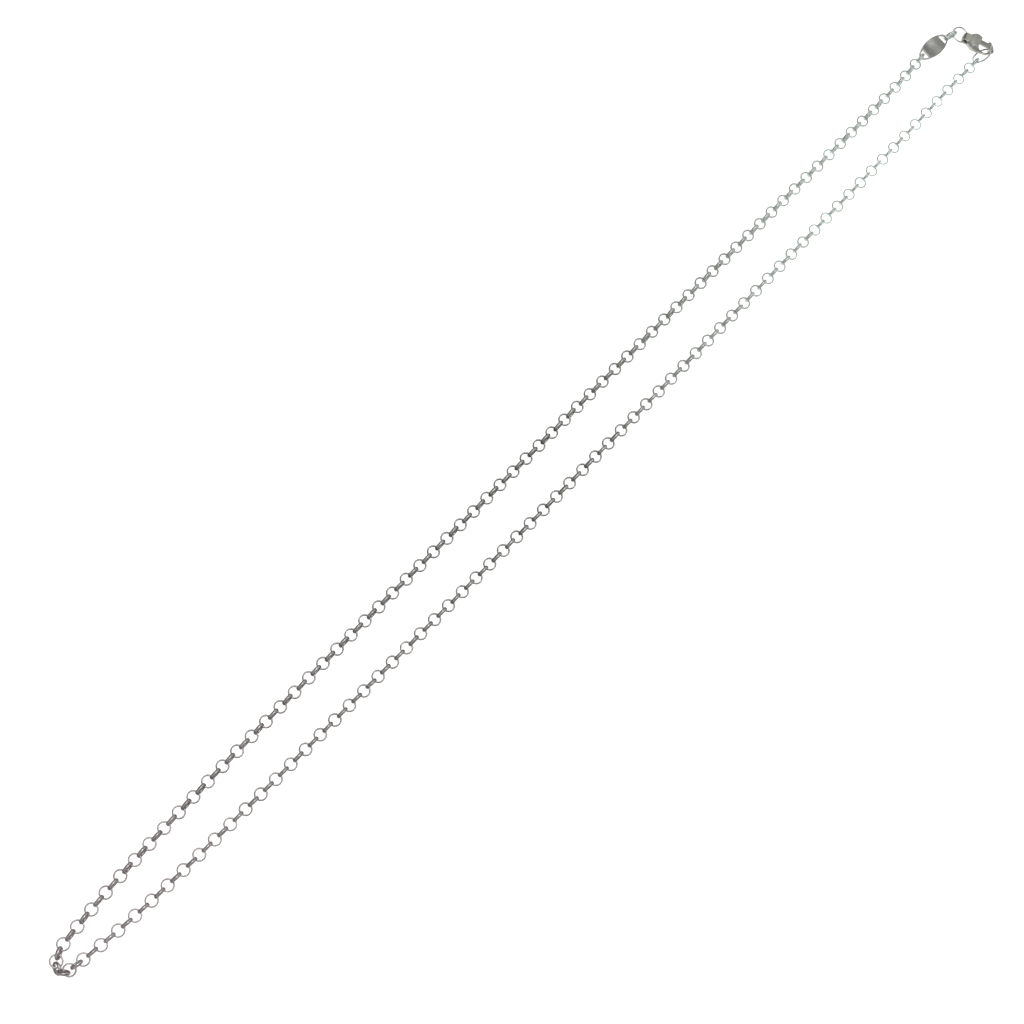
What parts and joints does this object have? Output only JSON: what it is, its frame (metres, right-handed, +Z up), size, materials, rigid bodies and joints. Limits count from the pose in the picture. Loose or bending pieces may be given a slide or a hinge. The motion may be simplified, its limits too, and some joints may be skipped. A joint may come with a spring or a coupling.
{
  "type": "chain necklace",
  "caption": "Closed rolo chain necklace of round oval-wire links, with a slotted oval tag, plain jump rings and a small sprung lobster clasp, laid out as a long narrow loop.",
  "frame": {"origin": "on the surface the necklace lies on, under the middle of the necklace's box", "axes": "+X along the two strands from the bend towards the clasp, +Y across from the lower strand to the upper one, +Z up from the surface"},
  "size_m": [0.2474, 0.0114, 0.0033],
  "materials": {
    "link_metal": "bright polished silver",
    "tag_metal": "polished silver",
    "ring_metal": "bright polished silver",
    "clasp_metal": "polished silver, cast"
  },
  "bodies": {
    "necklace": {"chain": "link_metal", "chain_end": "link_metal", "tag_plate": "tag_metal", "tag_link": "link_metal", "clasp_ring": "ring_metal", "end_ring": "ring_metal", "clasp_body": "clasp_metal", "clasp_pin": "clasp_metal"},
    "lever": {"clasp_lever": "clasp_metal"}
  },
  "joints": [
    {"name": "lever_hinge", "type": "hinge", "parent": "necklace", "child": "lever", "pos_m": [0.12231, -0.00086, 0.00117], "axis": [0.024, -0.0838, -0.9962], "range_deg": [0, 11], "stiffness_Nm_per_rad": 0.002, "springref_deg": -11.46}
  ]
}
